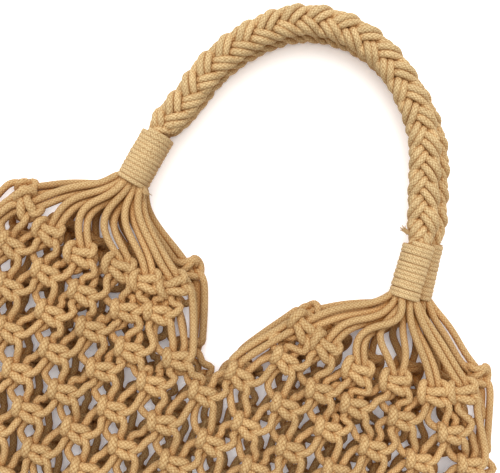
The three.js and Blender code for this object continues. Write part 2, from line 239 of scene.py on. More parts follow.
RIGHT_FAN = [
    [[(81.4, -4.5), (71, -11.4), (59.4, -17.6), (48.4, -25.6), (42.1, -33.1)],
     [(85.9, -4), (82, -10.4), (73, -16.1), (61.4, -22.5), (52.1, -29.8), (46.4, -35.5)]],
    [[(88.4, -3.9), (86.4, -11.9), (78.5, -17.8), (66.4, -22.9), (59.4, -29), (57, -36.8), (56.3, -41.8)],
     [(90.8, -5.2), (88.7, -12.8), (81.7, -18.6), (72.2, -23.2), (64.4, -29.3), (61.9, -36.1),
      (61.2, -42.1)]],
    [[(92.8, -8.7), (83.7, -18.8), (74.1, -25.2), (71.2, -32.1), (73.9, -39.6), (78.2, -46.3)],
     [(92.7, -13), (84.7, -21.2), (77.3, -26.2), (75.6, -32.2), (78.3, -38.7), (82, -43.8)]],
    [[(91, -5), (85, -15), (81.2, -24.1), (86.7, -30.3), (94.5, -35.2), (101.4, -40.3)],
     [(92.7, -4), (93.3, -12.3), (97.9, -20.8), (104.2, -26.7), (106.2, -33.5), (106.2, -40.2)]],
    [[(94.3, -3.3), (98.9, -11.8), (110.4, -23.2), (120.7, -33.1), (125, -40.8)],
     [(96.3, -2.4), (102.4, -11.3), (113.2, -21), (122.9, -29.3), (128.2, -39.4)]],
    [[(98.7, -2.4), (109.1, -11.3), (120, -19.1), (132.4, -28.1), (139.8, -33.1)],
     [(99.9, -0.9), (114.3, -10), (125.2, -17.8), (135, -25.1), (142.1, -30.7)]],
]
FAN_ROUTES = [*LEFT_FAN, *RIGHT_FAN]
# The outermost pair of the back's right fan, which shows past the front
BACK_EDGE_ROUTES = [
    [(102.9, 3.2), (113.5, -3.7), (124.6, -9.5), (134.7, -17.6), (143.6, -25.2)],
    [(106.6, 5.8), (118.5, 0.3), (132.9, -8.8), (143.3, -17.8), (150.4, -24.3)],
]

# How wide a bundle of fan cords is, as a share of its width below the wrap, at places along the wrap
BUNDLE_SPREAD = [(16, 0.58), (8, 0.64), (2.5, 0.82), (-2, 1.04)]
BUNDLE_LEFT = -7.6
BUNDLE_STEP = 3.04
BUNDLE_PAIR_STEP = 1.2
BUNDLE_HALF_DEPTH = 3.2
BUNDLE_HALF_WIDTH = 9.5
# A fan cord follows its route from this far below the wrap to this far from the middle of its knot
ROUTE_BELOW_WRAP = 3.5
ROUTE_OFF_KNOT = 7.0

# How fan cords that run into each other are pushed apart: points inside the wrap stay where they are
HELD_START = 7
SETTLE_STEP = 2.4
SETTLE_ROUNDS = 45
PUSH_WAY = np.array([0.35, 0.35, 1.0])
PUSH_SHARE = 0.7
LEAST_DISTANCE = 0.3
SMOOTHING_SHARE = 0.25

# Frayed cord ends: the wrap, the place across, up and out, and the way that the threads point
FRAYED_ENDS = [
    ("front_left_wrap", (-91.0, 39.2, 30), (-0.35, 1, 0.2)),
    ("front_left_wrap", (-80.2, -0.6, 31), (0.9, -0.6, 0.1)),
    ("front_right_wrap", (75.8, 38.2, 31), (-1, 0.35, 0.2)),
    ("back_right_wrap", (97.2, 38.5, 12), (1, 0.5, 0.3)),
]
THREAD_COUNT = 11
THREAD_LENGTHS = (2.4, 5.2)
THREAD_ROOT = -0.3
THREAD_SPREAD = (0.42, 0.3)
THREAD_SCATTER = np.array([0.7, 0.7, 0.35])
THREAD_RADII = np.array([0.42, 0.42, 0.38, 0.33, 0.26, 0.14])
THREAD_TONES = (0.3, 0.4)

# How much cords differ in tone, and the seeds of what is left to chance
TONE_SPREAD = 0.5
WRAP_TONE_SPREAD = 0.3
KNOT_SEED = 11
TONE_SEED = 5
PLAIT_SEED = 20
WRAP_SEED = 31
FRAY_SEED = 77

# Each cotton's colour in the panel, the yarns round it each way, and the length of one crossing of them
COTTONS = {
    "cotton_cord": ("cord", 7, 2.3),
    "plaited_cord": ("plait", 7, 2.3),
    "wound_cord": ("wrap", 6, 1.6),
}
# Noises on the cotton: scale round the cord and along it, then the noise's own scale, detail and roughness
FIBRE_NOISE = (14.0, 1.1, 1.6, 3.0, 0.6)
PATCH_NOISE = (1.5, 0.06, 1.0)
FLECK_NOISE = (8.0, 0.65, 1.5, 2.0, 0.7)
FLECK_LEVEL = 0.5
FLECK_STRENGTH = 4.2
# Moves the noises along by a cord's tone, so that no two cords are alike
TONE_SHIFT = 311.0
# What these values are multiplied by, and what is then added, for the cotton's brightness and roughness
FIBRE_SHADE = (0.5, 0.78)
PATCH_SHADE = (0.24, 0.88)
TONE_SHADE = (0.09, 1.0)
FIBRE_ROUGHNESS = (0.15, 0.8)
# How sharply one yarn dips under the other, how dark the painted shade in the gaps between yarns is and how
# high the fibres
YARN_DIP = 0.35
YARN_GAP_SHADE = 0.4
YARN_SOFTNESS = 0.1
FIBRE_HEIGHT = 0.35
# How near other cords have to be for the cotton to get a painted brown shade between them, in metres, and how
# brown that painted shade is
HOLLOW_SHADE_REACH = 0.035
HOLLOW_SHADE_POWER = 0.65
HOLLOW_SHADE_TINT = (0.85, 0.42, 0.08, 1)

# The stage: a floor, light from a window, and a camera above. Lengths in metres, the picture's middle in mm.
FLOOR_HALF = 4.0
FLOOR_CLOUD = 0.99
LIGHT_WAY = (0.2, -0.36, -1.0)
BAG_TURN = math.radians(23)
FRAMED_MIDDLE = (-10.2, -1.2)
FRAMED_WIDTH = 0.3
FRAMED_HEIGHT = 0.035

FAN_NAMES = ["front_left", "front_right", "back_right", "back_left"]


def unit(vectors):
    """The same directions with a length of one"""
    lengths = np.linalg.norm(vectors, axis=-1, keepdims=True)
    return vectors / np.maximum(lengths, NEARLY_NOUGHT)


def lerp(start, end, share):
    return start + (end - start) * share


def eased(share):
    """A share from nought to one that starts and ends gently"""
    return share * share * (3 - 2 * share)


def lengths_along(points):
    """How far along the line each of its points is"""
    return np.concatenate([[0], np.cumsum(np.linalg.norm(np.diff(points, axis=0), axis=1))])


def smooth_path(points, step):
    """Points along a smooth curve through the given ones, about a step apart, and where each is among them"""
    points = np.asarray(points, float)
    extended = np.vstack([2 * points[0] - points[1], points, 2 * points[-1] - points[-2]])
    gaps = np.diff(extended, axis=0)
    spans = np.sqrt(np.maximum(np.linalg.norm(gaps, axis=1), NEARLY_NOUGHT))[:, None]
    before, here, after = spans[:-2], spans[1:-1], spans[2:]
    two_before = (extended[2:-1] - extended[:-3]) / (before + here)
    two_after = (extended[3:] - extended[1:-2]) / (here + after)
    leave = here * (gaps[:-2] / before - two_before + gaps[1:-1] / here)
    arrive = here * (gaps[1:-1] / here - two_after + gaps[2:] / after)
    counts = np.maximum(1, np.round(np.linalg.norm(gaps[1:-1], axis=1) / step)).astype(int)
    which = np.repeat(np.arange(len(counts)), counts)
    share = np.concatenate([np.arange(count) / count for count in counts])[:, None]
    square, cube = share**2, share**3
    curve = (
        (2 * cube - 3 * square + 1) * extended[1:-2][which]
        + (cube - 2 * square + share) * leave[which]
        + (3 * square - 2 * cube) * extended[2:-1][which]
        + (cube - square) * arrive[which]
    )
    return np.vstack([curve, points[-1]]), np.append(which + share[:, 0], len(counts))


def even_path(points, step):
    """The same line with points that are evenly spaced along it, and how far along each is"""
    lengths = lengths_along(points)
    marks = np.linspace(0, lengths[-1], max(2, round(lengths[-1] / step) + 1))
    return np.stack([np.interp(marks, lengths, points[:, axis]) for axis in range(3)], axis=1), marks


def carried_sides(paths):
    """For each path, a direction across it at each point, carried along without twist"""
    longest = max(len(path) for path in paths)
    tangents = np.zeros((len(paths), longest, 3))
    for row, path in zip(tangents, paths):
        row[: len(path)] = unit(np.gradient(path, axis=0))
        row[len(path):] = row[len(path) - 1]
    sides = np.zeros_like(tangents)
    side = unit(np.cross(tangents[:, 0], SKEWED))
    for i in range(longest):
        tangent = tangents[:, i]
        side = unit(side - tangent * np.sum(side * tangent, axis=1, keepdims=True))
        sides[:, i] = side
    return [(tangents[i, : len(path)], sides[i, : len(path)]) for i, path in enumerate(paths)]


class Cord:
    """A stretch of cord: its middle line, the directions across it, its half-thicknesses and its tone"""

    def __init__(self, points, tangents, sides, half_wide, half_thick, tone, start=0.0, roundness=1.0):
        self.points = points
        self.tangents = tangents
        self.sides = sides
        self.half_wide = half_wide * np.ones(len(points))
        self.half_thick = half_thick * np.ones(len(points))
        self.tone = tone
        self.start = start
        self.roundness = roundness

    def part(self, first, last):
        """The stretch between two of its points"""
        lengths = np.linalg.norm(np.diff(self.points, axis=0), axis=1)
        cut = slice(first, last + 1)
        return Cord(self.points[cut], self.tangents[cut], self.sides[cut], self.half_wide[cut],
                    self.half_thick[cut], self.tone, self.start + lengths[:first].sum())


def round_cords(paths, radii, tones):
    """Cords of a round section along these paths"""
    return [
        Cord(path, tangents, sides, radius, radius, tone)
        for path, radius, (tangents, sides), tone in zip(paths, radii, carried_sides(paths), tones)
    ]


def squared(values, roundness):
    """Sines or cosines drawn towards the corners of a square: a roundness of one leaves them as they are"""
    return np.sign(values) * np.abs(values) ** roundness


def tube_mesh(name, cords, sides):
    """One mesh with a closed tube for each cord, a map round and along each, and the cord's tone"""
    angles = 2 * math.pi * np.arange(sides) / sides
    points, quads, quad_maps, caps, cap_maps, tones = [], [], [], [], [], []
    base = 0
    for cord in cords:
        count = len(cord.points)
        ups = np.cross(cord.tangents, cord.sides)
        cosines, sines = squared(np.cos(angles), cord.roundness), squared(np.sin(angles), cord.roundness)
        wide = (cord.half_wide[:, None] * cosines)[:, :, None] * cord.sides[:, None, :]
        thick = (cord.half_thick[:, None] * sines)[:, :, None] * ups[:, None, :]
        points.append((cord.points[:, None, :] + wide + thick).reshape(-1, 3))
        along = cord.start + lengths_along(cord.points)
        ring, side = np.meshgrid(np.arange(count - 1), np.arange(sides), indexing="ij")
        near, far, after = ring * sides, (ring + 1) * sides, (side + 1) % sides
        corners = np.stack([near + side, near + after, far + after, far + side], -1)
        quads.append(base + corners.reshape(-1, 4))
        around = np.stack([side, side + 1, side + 1, side], -1) / sides
        lengthwise = np.stack([along[ring], along[ring], along[ring + 1], along[ring + 1]], -1)
        quad_maps.append(np.stack([around, lengthwise], -1).reshape(-1, 2))
        ends = [np.arange(sides)[::-1], (count - 1) * sides + np.arange(sides)]
        for end, place in zip(ends, (along[0], along[-1])):
            caps.append(base + end)
            cap_maps.append(np.stack([(end % sides) / sides, np.full(sides, place)], -1))
        tones.append(np.full(count * sides, cord.tone))
        base += count * sides
    points = np.concatenate(points)
    quads = np.concatenate(quads)
    corners = np.concatenate([quads.ravel(), np.concatenate(caps)])
    starts = np.concatenate([4 * np.arange(len(quads)), 4 * len(quads) + sides * np.arange(len(caps))])
    smooth = np.concatenate([np.ones(len(quads), bool), np.zeros(len(caps), bool)])
    mesh = bpy.data.meshes.new(name)
    mesh.vertices.add(len(points))
    scene_points = (points + np.array([0, SHIFT_Y, 0])) * MM
    mesh.vertices.foreach_set("co", scene_points.astype(np.float32).ravel())
    mesh.loops.add(len(corners))
    mesh.loops.foreach_set("vertex_index", corners.astype(np.int32))
    mesh.polygons.add(len(starts))
    mesh.polygons.foreach_set("loop_start", starts.astype(np.int32))
    mesh.polygons.foreach_set("use_smooth", smooth)
    mesh.update(calc_edges=True)
    uv = mesh.uv_layers.new(name="cord_uv")
    flat_map = np.concatenate(quad_maps + cap_maps).astype(np.float32)
    uv.uv.foreach_set("vector", flat_map.ravel())
    tone = mesh.attributes.new("tone", "FLOAT", "POINT")
    tone.data.foreach_set("value", np.concatenate(tones).astype(np.float32))
    return mesh


def add_piece(name, cords, sides, material, slot, *nodes):
    """Makes one piece of the bag from cords, in place of the solids that stand for it"""
    mesh = tube_mesh(name, cords, sides)
    mesh.materials.append(material)
    piece = bpy.data.objects.new(name, mesh)
    bpy.context.scene.collection.objects.link(piece)
    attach(piece, "root")
    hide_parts(*nodes)
    return piece


def half_width(y):
    """From the bag's middle to its side at this height"""
    if y > FULLEST_Y:
        share = (y - FULLEST_Y) / (SHOULDER[1] - FULLEST_Y)
        return NET_HALF_WIDTH - (NET_HALF_WIDTH - SHOULDER[0]) * share**2
    below = min(CORNER_RADIUS, max(0.0, NET_BOTTOM_Y + CORNER_RADIUS - y))
    return NET_HALF_WIDTH - CORNER_RADIUS + math.sqrt(CORNER_RADIUS**2 - below**2)


def front_lift(x, y):
    """How far the front stands off the back"""
    across = 1 - min(1.0, abs(x) / NET_HALF_WIDTH) ** ROUNDNESS
    if y > FULLEST_Y:
        along = 1 - MOUTH_LOSS * min(1.0, (y - FULLEST_Y) / -FULLEST_Y) ** 2
    else:
        towards_bottom = max(0.0, (y - NET_BOTTOM_Y) / (FULLEST_Y - NET_BOTTOM_Y))
        along = math.sin(math.pi / 2 * towards_bottom)
    return BAG_OPENNESS * across * along


def front_z(x, y):
    return FRONT_EDGE_Z + FRONT_LIFT_SHARE * front_lift(x, y)


def knot_in_layer(row, across):
    """Middle of a knot seen from outside its layer, and its turn in the layer's plane.

    The knot's place across is counted in pitches from the middle of the layer.
    """
    side = 1 if across > 0 else -1
    place = abs(across) - KNOTS_PER_FAN / 2
    pitch_share, spread_share = GATHERED_ROWS[row] if row < len(GATHERED_ROWS) else BODY_ROW
    rise = EDGE_RISE * max(0.0, 1 - row / STRAIGHT_ROW)
    x = lerp(FAN_X, BODY_FAN_X, spread_share) + KNOT_PITCH * pitch_share * place
    y = rise * place**2 - FIRST_ROW_DROP - row * ROW_STEP
    if row >= len(GATHERED_ROWS):
        narrowing = 1 - (half_width(y) - SIDE_INSET) / (NET_HALF_WIDTH - SIDE_INSET)
        x *= 1 - narrowing * (across / KNOTS_PER_FAN) ** 2
    turn = KNOT_TURN_SHARE * math.atan2(2 * rise * place, KNOT_PITCH * pitch_share) if across else 0.0
    return side * x, y, side * turn


def front_place(row, turn):
    """Middle of a knot of the front and its turn in the front's plane: turn counts pitches round the bag"""
    x, y, angle = knot_in_layer(row, turn - KNOTS_PER_FAN)
    if row < len(TOP_ROWS):
        seen = round(turn - FIRST_TURNS[row])
        if 0 <= seen < len(TOP_ROWS[row]) and TOP_ROWS[row][seen]:
            x, y = TOP_ROWS[row][seen]
    if row == 0:
        ends = np.array([route[-1] for route in FAN_ROUTES[seen]]).mean(axis=0)
        angle = KNOT_TURN_SHARE * math.atan2(x - ends[0], ends[1] - y)
    return x, y, angle


def back_place(row, turn):
    """Middle of a knot of the back and its turn, seen from above"""
    x, y, angle = front_place(row, 2 * SIDE_TURN - turn)
    slip = max(0.0, 1 - row / STRAIGHT_ROW)
    seen = 2 * SIDE_TURN - round(turn + 0.5)
    if row == 0 and seen in BACK_END_KNOTS:
        return *BACK_END_KNOTS[seen], angle
    return x * lerp(1.0, BACK_SPREAD, slip) + BACK_SHIFT[0] * slip, y + BACK_SHIFT[1] * slip, angle


def knot_frame(row, turn, chance):
    """Middle of a knot and its directions to the right, up and out: turn counts pitches round the bag"""
    scatter = chance.normal(0, KNOT_SCATTER, 3)
    tilt = chance.normal(0, KNOT_TILT)
    scale = (TOP_KNOT_SCALE if row == 0 else 1.0) + chance.normal(0, KNOT_SIZE_SPREAD)
    if turn % SIDE_TURN == 0:
        out = 1.0 if turn == SIDE_TURN else -1.0
        y = knot_in_layer(row, KNOTS_PER_FAN)[1]
        middle = np.array([out * (half_width(y) - SIDE_INSET), y, FOLD_MIDDLE_Z])
        right, up = np.array([0, 0, -out]), np.array([0.0, 1.0, 0.0])
    elif turn < SIDE_TURN:
        x, y, angle = front_place(row, turn)
        angle += tilt
        middle = np.array([x, y, front_z(x, y)])
        right = np.array([math.cos(angle), math.sin(angle), 0])
        up = np.array([-math.sin(angle), math.cos(angle), 0])
        for way in (right, up):
            ahead, behind = middle + SLOPE_REACH * way, middle - SLOPE_REACH * way
            way[2] = (front_z(*ahead[:2]) - front_z(*behind[:2])) / (2 * SLOPE_REACH)
        right, up = unit(right), unit(up)
    else:
        x, y, angle = back_place(row, turn)
        angle += tilt
        middle = np.array([x, y, BACK_Z])
        scatter[2] *= BACK_SCATTER_SHARE
        right = np.array([-math.cos(angle), -math.sin(angle), 0])
        up = np.array([-math.sin(angle), math.cos(angle), 0])
    return middle + scatter, scale * right, scale * up, scale * np.cross(right, up)


def in_frame(place, points):
    """Points given across, up and out of a knot, put where the knot is"""
    middle, right, up, out = place
    points = np.array([point[:3] for point in points], float)
    return middle + points[:, :1] * right + points[:, 1:2] * up + points[:, 2:3] * out


def fullness(points):
    """How much fuller than usual the cord is at each of these points"""
    return [point[3] if len(point) > 3 else 1.0 for point in points]


def wrap_place(side, back):
    """Middle of a wrap's lower end, and the way it points"""
    shown = back and side > 0
    shift = BACK_HANDLE_SHIFT if shown else (0.0, 0.0)
    lean = BACK_RIGHT_WRAP_LEAN if shown else WRAP_LEAN
    foot = np.array([side * FAN_X + shift[0], shift[1], BACK_HANDLE_Z if back else FRONT_HANDLE_Z])
    return foot, np.array([-side * math.sin(lean), math.cos(lean), 0])


def fan_route(seen, rank, side, back, knot_middle):
    """A fan cord's way seen from above: the back's follow the front's, moved with their wrap and knot"""
    if back and seen == SIDE_TURN - 1:
        return np.array(BACK_EDGE_ROUTES[rank])
    route = np.array(FAN_ROUTES[seen][rank])
    if not back:
        return route
    share = np.linspace(0, 1, len(route))[:, None]
    foot_move = (wrap_place(side, True)[0] - wrap_place(side, False)[0])[:2]
    return route + (1 - share) * foot_move + share * (knot_middle - TOP_ROWS[0][seen])


def fan_points(number, filler, knot):
    """A cord from inside its wrap down to a knot of the top row, whose number counts round the bag"""
    back = number >= SIDE_TURN
    seen = 2 * SIDE_TURN - 1 - number if back else number
    rank = 1 - filler if back else filler
    side = -1 if seen < KNOTS_PER_FAN else 1
    foot, up = wrap_place(side, back)
    across = np.array([up[1], -up[0], 0])
    pair_place = BUNDLE_LEFT + BUNDLE_STEP * (seen % KNOTS_PER_FAN)
    place = pair_place + BUNDLE_PAIR_STEP * rank - BUNDLE_PAIR_STEP / 2
    depth = BUNDLE_HALF_DEPTH * math.sqrt(1 - (place / BUNDLE_HALF_WIDTH) ** 2) * (1 if rank == 0 else -1)
    inside = [foot + along * up + spread * (place * across + depth * UP) for along, spread in BUNDLE_SPREAD]
    route = fan_route(seen, rank, side, back, knot[0][:2])
    below = (route - foot[:2]) @ up[:2] < -ROUTE_BELOW_WRAP
    clear = np.linalg.norm(route - knot[0][:2], axis=1) > ROUTE_OFF_KNOT
    route = route[below & clear]
    entry = in_frame(knot, TOP_KNOT[1 + filler][:1])[0]
    lengths = lengths_along(np.vstack([inside[-1][:2], route, entry[:2]]))
    heights = lerp(inside[-1][2], entry[2], eased(lengths / lengths[-1])[1:-1])
    return np.vstack([inside, np.column_stack([route, heights])]), entry


def settle(paths, thickness):
    """Pushes cords that run into each other apart, mostly up and down, and leaves their ends in place"""
    points = np.vstack(paths)
    owner = np.repeat(np.arange(len(paths)), [len(path) for path in paths])
    starts = np.cumsum([0] + [len(path) for path in paths])
    held = np.zeros(len(points), bool)
    for start, end in zip(starts[:-1], starts[1:]):
        held[start : start + HELD_START] = True
        held[end - 1] = True
    kept = points[held].copy()
    others = owner[:, None] != owner[None, :]
    inner = ~held & (np.roll(owner, 1) == owner) & (np.roll(owner, -1) == owner)
    for _ in range(SETTLE_ROUNDS):
        apart = points[:, None, :] - points[None, :, :]
        distance = np.linalg.norm(apart, axis=2)
        overlap = np.where(others, np.maximum(0, thickness - distance), 0)
        push = (overlap / np.maximum(distance, LEAST_DISTANCE))[:, :, None] * apart * PUSH_WAY
        touching = np.maximum(1, (overlap > 0).sum(axis=1))[:, None]
        points = points + PUSH_SHARE * push.sum(axis=1) / touching
        points[:, 2] = np.maximum(points[:, 2], thickness / 2)
        halfway = (np.roll(points, 1, axis=0) + np.roll(points, -1, axis=0)) / 2
        points[inner] = lerp(points[inner], halfway[inner], SMOOTHING_SHARE)
        points[held] = kept
    return [points[start:end] for start, end in zip(starts[:-1], starts[1:])]


def ties_in_row(row, cord):
    """The knot of this row that ties a cord, in pitches round the bag, and which of its four cords it is"""
    if row % 2 == 0:
        return cord // 4 + 0.5, cord % 4
    if row == 1 and cord % CORDS_PER_FAN in (0, 1, CORDS_PER_FAN - 2, CORDS_PER_FAN - 1):
        return None, None
    shifted = (cord - 2) % CORD_COUNT
    return shifted // 4 + 1, shifted % 4


def closing_knot(index):
    """Middle and directions of a knot of the bottom row, which stands edge on"""
    half_span = NET_HALF_WIDTH - CORNER_RADIUS
    step = 2 * half_span / (2 * SIDE_TURN)
    middle = np.array([(index + 0.5) * step - half_span, NET_BOTTOM_Y - CLOSING_KNOT_DROP, FOLD_MIDDLE_Z])
    scale = CLOSING_KNOT_SCALE
    return middle, scale * -UP, scale * np.array([0.0, 1.0, 0.0]), scale * np.array([1.0, 0.0, 0.0])


def net_places():
    """Where every knot of the net stands, by its row and its turn round the bag"""
    chance = np.random.default_rng(KNOT_SEED)
    places = {}
    for row in range(ROW_COUNT):
        offset = 0.5 if row % 2 == 0 else 1.0
        for knot in range(2 * SIDE_TURN):
            turn = (knot + offset) % (2 * SIDE_TURN)
            places[row, turn] = knot_frame(row, turn, chance)
    return places


def cord_chain(cord, places):
    """A cord's way from its knot in the top row to the bottom

    Gives its points, how full it is at each, and the number of points before the knot of the bottom row.
    """
    points, full = [], []
    for row in range(ROW_COUNT):
        turn, role = ties_in_row(row, cord)
        if turn is None:
            continue
        shape = (TOP_KNOT if row == 0 else BODY_KNOT)[role]
        if role in (0, 3) and ties_in_row(1, cord)[0] is None:
            if row == 0:
                shape = shape[:-2] + (LAST_LEFT_POINTS if role == 0 else LAST_RIGHT_POINTS)
            elif row == 2:
                shape = (NEXT_LEFT_POINTS if role == 0 else NEXT_RIGHT_POINTS) + shape[2:]
        if row == ROW_COUNT - 1:
            shape = shape[:-1]
        points.append(in_frame(places[row, turn % (2 * SIDE_TURN)], shape))
        full += fullness(shape)
    closing_at = len(full)
    front = cord < CORD_COUNT // 2
    mate = cord if front else CORD_COUNT - 1 - cord
    role = mate % 2 if front else 3 - mate % 2
    points.append(in_frame(closing_knot(mate // 2), BODY_KNOT[role]))
    full += fullness(BODY_KNOT[role])
    return np.vstack(points), np.array(full), closing_at


def fan_leads(places, thickness):
    """The way of each fan cord from its wrap to its knot, by the knot's number and the cord's"""
    leads = {}
    for fan in range(4):
        numbers = range(fan * KNOTS_PER_FAN, (fan + 1) * KNOTS_PER_FAN)
        keys = [(number, filler) for number in numbers for filler in (0, 1)]
        paths = []
        for number, filler in keys:
            lead, entry = fan_points(number, filler, places[0, number + 0.5])
            curve, _ = smooth_path(np.vstack([lead, entry]), FINE_STEP)
            path, _ = even_path(curve, SETTLE_STEP)
            paths.append(path)
        for key, path in zip(keys, settle(paths, thickness)):
            leads[key] = path[:-1]
    return leads


@functools.lru_cache(maxsize=1)
def net_lines(thickness):
    """The middle line of every cord below the wraps, with the marks where pieces part"""
    places = net_places()
    leads = fan_leads(places, thickness)
    fillers, workers = [], []
    for knot in range(CORD_COUNT // 4):
        fan = knot // KNOTS_PER_FAN
        for filler in (0, 1):
            points, full, closing_at = cord_chain(4 * knot + 1 + filler, places)
            lead = leads[knot, filler]
            line = np.vstack([lead, points])
            line_full = np.concatenate([np.ones(len(lead)), full])
            fillers.append((fan, line, line_full, len(lead) + 1, len(lead) + closing_at))
        left, left_full, left_closing = cord_chain(4 * knot, places)
        right, right_full, right_closing = cord_chain(4 * knot + 3, places)
        line = np.vstack([left[::-1], right])
        line_full = np.concatenate([left_full[::-1], right_full])
        workers.append((fan, line, line_full, len(left) - left_closing, len(left) + right_closing))
    return fillers, workers


def point_near(path, target):
    return int(np.argmin(np.sum((path - target) ** 2, axis=1)))


@functools.lru_cache(maxsize=1)
def cut_net(step, radius):
    """The net's cords, cut where one piece ends and the next starts"""
    chance = np.random.default_rng(TONE_SEED)
    fillers, workers = net_lines(2 * radius)
    paths, radii = [], []
    for _, line, line_full, _, _ in fillers + workers:
        path, marks = smooth_path(line, step)
        radii.append(radius * np.interp(marks, np.arange(len(line)), line_full))
        path[:, 2] = np.maximum(path[:, 2], radii[-1])
        paths.append(path)
    cords = round_cords(paths, radii, chance.normal(0, TONE_SPREAD, len(paths)))
    fans = [[] for _ in range(4)]
    nets = [[] for _ in range(4)]
    closing = []
    for cord, (fan, line, _, knot_at, closing_at) in zip(cords[: len(fillers)], fillers):
        in_knot = point_near(cord.points, line[knot_at])
        at_bottom = point_near(cord.points, line[closing_at])
        fans[fan].append(cord.part(0, in_knot))
        nets[fan].append(cord.part(in_knot, at_bottom))
        closing.append(cord.part(at_bottom, len(cord.points) - 1))
    for cord, (fan, line, _, left_at, right_at) in zip(cords[len(fillers):], workers):
        left = point_near(cord.points, line[left_at])
        right = point_near(cord.points, line[right_at])
        closing.append(cord.part(0, left))
        nets[fan].append(cord.part(left, right))
        closing.append(cord.part(right, len(cord.points) - 1))
    return fans, nets, closing


def handle_line(back):
    """The middle line of a handle from wrap to wrap, evenly spaced, and how far along each point is"""
    left_foot, left_up = wrap_place(-1, back)
    right_foot, right_up = wrap_place(1, back)
    shift = BACK_HANDLE_SHIFT[0] if back else 0.0
    points = [left_foot + HANDLE_START * left_up, left_foot + HANDLE_LEAVES_WRAP * left_up]
    for across, up in HANDLE_ROUTE:
        points.append([across * FAN_X + shift * (across + 1) / 2, up * HANDLE_HEIGHT, left_foot[2]])
    points += [right_foot + HANDLE_LEAVES_WRAP * right_up, right_foot + HANDLE_START * right_up]
    curve, _ = smooth_path(np.array(points), FINE_STEP)
    return even_path(curve, HANDLE_STEP)


def plait_cords(back, radius):
    """The cords of a handle's three-strand plait"""
    line, along = handle_line(back)
    across = unit(np.cross(unit(np.gradient(line, axis=0)), UP))
    from_end = np.minimum(along, along[-1] - along)
    ease = eased(np.clip((from_end - PLAIT_START) / PLAIT_EASE, 0, 1))[:, None]
    chance = np.random.default_rng(PLAIT_SEED + back)
    paths, tones = [], []
    for strand in range(STRAND_COUNT):
        phase = 2 * math.pi * ((along - PLAIT_OFFSET) / PLAIT_TURN_LENGTH + strand / STRAND_COUNT)
        swing = (STRAND_SWING * np.sin(phase))[:, None]
        rise = (STRAND_RISE * np.sin(2 * phase))[:, None]
        around = 2 * math.pi * strand / STRAND_COUNT
        gathered = math.cos(around) * across + math.sin(around) * UP
        middle = line + ease * (swing * across + rise * UP) + (1 - ease) * GATHERED_RADIUS * gathered
        strand_tangent = unit(np.gradient(middle, axis=0))
        roll = (math.pi / 2 * (1 - np.cos(phase)))[:, None]
        flat_side = unit(np.cross(strand_tangent, UP))
        flat_out = np.cross(flat_side, strand_tangent)
        out = np.cos(roll) * flat_out + np.sin(roll) * flat_side
        sideways = np.cross(strand_tangent, out)
        spread = lerp(GATHERED_SHARE, 1.0, ease)
        for place_across, place_out in STRAND_PLACES:
            wobble = chance.uniform(0, 2 * math.pi)
            drift = CORD_DRIFT * np.sin(along / CORD_DRIFT_LENGTH + wobble)[:, None]
            path = middle + spread * (place_across + drift) * sideways + spread * place_out * out
            path[:, 2] = np.maximum(path[:, 2], radius)
            paths.append(path)
            tones.append(chance.normal(0, TONE_SPREAD))
    return round_cords(paths, [radius] * len(paths), tones)


def slow_change(chance, places, usual, count, size):
    """Values left to chance that change slowly along these places"""
    return np.interp(places, np.linspace(0, places[-1], count), chance.normal(usual, size, count))


def wrap_cord(side, back):
    """The cord that is wound round one end of a handle"""
    foot, up = wrap_place(side, back)
    across = np.array([up[1], -up[0], 0])
    turns = WRAP_TURNS + WRAP_EXTRA_TURN
    angle = np.linspace(0, 2 * math.pi * turns, round(turns * WRAP_TURN_POINTS))
    chance = np.random.default_rng(WRAP_SEED + side + 4 * back)
    uneven = slow_change(chance, angle, 0, *WRAP_REACH_CHANGE)
    slack = slow_change(chance, angle, 0, *WRAP_HEIGHT_CHANGE)
    swell = slow_change(chance, angle, 1, *WRAP_WIDTH_CHANGE)
    cosine, sine = np.cos(angle)[:, None], np.sin(angle)[:, None]
    outward = cosine * across + sine * UP
    reach = cosine * WRAP_HALF_WIDTH * across + sine * WRAP_HALF_DEPTH * UP
    rise = angle / (2 * math.pi) * (WRAP_LENGTH - WRAP_PITCH) / turns
    height = WRAP_START_HEIGHT + rise + WRAP_SLANT * np.cos(angle) + slack
    points = foot + reach + uneven[:, None] * outward + height[:, None] * up
    points[:, 2] = np.maximum(points[:, 2], WRAP_CORD_HALF_THICKNESS)
    tangents = unit(np.gradient(points, axis=0))
    sides = unit(np.cross(outward, tangents))
    tone = chance.normal(0, WRAP_TONE_SPREAD)
    return Cord(
        points, tangents, sides, WRAP_CORD_HALF_WIDTH * swell, WRAP_CORD_HALF_THICKNESS, tone,
        roundness=WRAP_CORD_ROUNDNESS,
    )


def frayed_end(place, way, chance):
    """The fine threads of a cut cord end"""
    way = unit(np.array(way, float))
    side = unit(np.cross(way, UP))
    other_side = np.cross(way, side)
    marks = np.linspace(THREAD_ROOT, 1, len(THREAD_RADII))[:, None]
    paths = []
    for _ in range(THREAD_COUNT):
        spread = chance.normal(0, THREAD_SPREAD[0]) * side + chance.normal(0, THREAD_SPREAD[1]) * other_side
        root = np.array(place) + chance.normal(0, 1, 3) * THREAD_SCATTER
        length = chance.uniform(*THREAD_LENGTHS)
        paths.append(root + length * (marks * way + marks**2 * spread))
    return round_cords(paths, [THREAD_RADII] * THREAD_COUNT, chance.normal(*THREAD_TONES, THREAD_COUNT))


